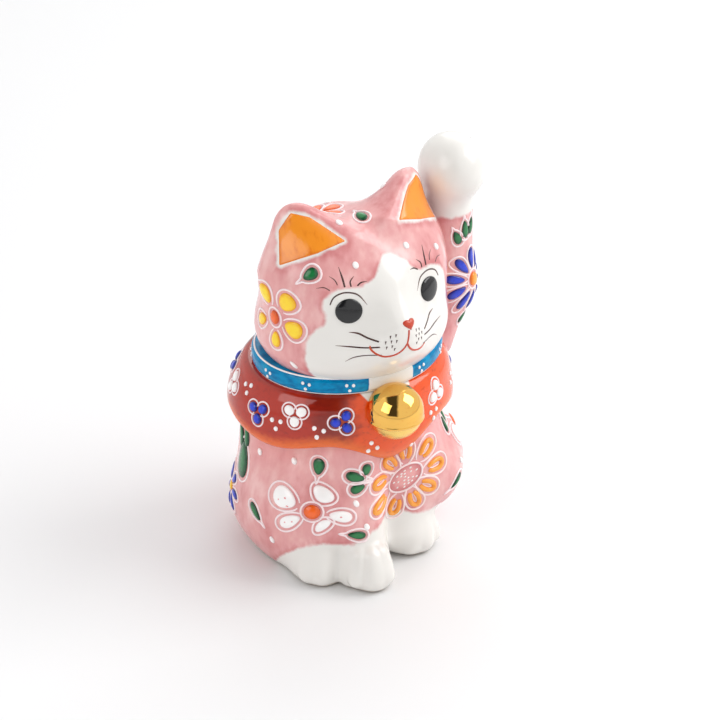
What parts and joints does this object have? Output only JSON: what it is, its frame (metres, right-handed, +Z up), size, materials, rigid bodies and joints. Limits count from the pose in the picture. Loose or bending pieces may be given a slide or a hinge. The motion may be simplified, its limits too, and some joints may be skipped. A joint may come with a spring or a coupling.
{
  "type": "beckoning cat figurine",
  "caption": "Seated porcelain beckoning cat with one paw raised, bib, collar and gilded bell, and raised enamel flowers; stands free on a flat base.",
  "frame": {"origin": "middle of the foot plane, under the middle of the seated body", "axes": "+Z up, the cat faces -Y, its raised left paw is on the +X side"},
  "size_m": [0.0668, 0.0656, 0.1032],
  "materials": {
    "pink_glaze": "airbrushed pink over white porcelain, clear glaze",
    "white_glaze": "white porcelain, clear glaze",
    "red_glaze": "iron-red enamel, high gloss",
    "turquoise_glaze": "turquoise enamel, high gloss",
    "gold_lustre": "fired liquid gold, mirror bright",
    "white_enamel": "raised white enamel",
    "orange_enamel": "translucent orange enamel",
    "yellow_enamel": "translucent yellow enamel",
    "green_enamel": "translucent green enamel",
    "blue_enamel": "translucent cobalt-blue enamel",
    "pink_enamel": "pink wash under white dashes",
    "black_enamel": "thick black enamel, high gloss",
    "brown_line": "fine brown-black painted line",
    "red_line": "iron-red painted line"
  },
  "bodies": {
    "root": {"body_casting": "pink_glaze", "head_casting": "pink_glaze", "raised_arm": "white_glaze", "tail": "white_glaze", "bib": "red_glaze", "collar_band": "turquoise_glaze", "collar_edging": "white_enamel", "bell": "gold_lustre", "ear_wash_right": "orange_enamel", "ear_wash_left": "orange_enamel", "eye_right": "black_enamel", "eye_left": "black_enamel", "eyelid_strokes": "brown_line", "brow_strokes": "brown_line", "nose": "red_line", "mouth_line": "red_line", "whiskers": "brown_line", "whisker_pad_dashes": "brown_line", "cheek_flower_petals": "yellow_enamel", "cheek_flower_centre": "orange_enamel", "crown_flower_petals": "orange_enamel", "crown_flower_centre": "yellow_enamel", "head_leaves": "green_enamel", "head_dots": "white_enamel", "arm_daisy_petals": "blue_enamel", "arm_daisy_centre": "yellow_enamel", "arm_leaves": "green_enamel", "bib_berries_blue": "blue_enamel", "bib_berries_white": "white_enamel", "bib_dots": "white_enamel", "collar_dots": "white_enamel", "haunch_flower_petals": "white_enamel", "haunch_flower_centre": "orange_enamel", "belly_daisy_petals": "orange_enamel", "belly_daisy_centre": "pink_enamel", "body_leaves": "green_enamel", "side_leaves": "green_enamel", "hip_petals": "blue_enamel", "body_dots": "white_enamel", "petal_outlines": "white_enamel"}
  },
  "joints": []
}
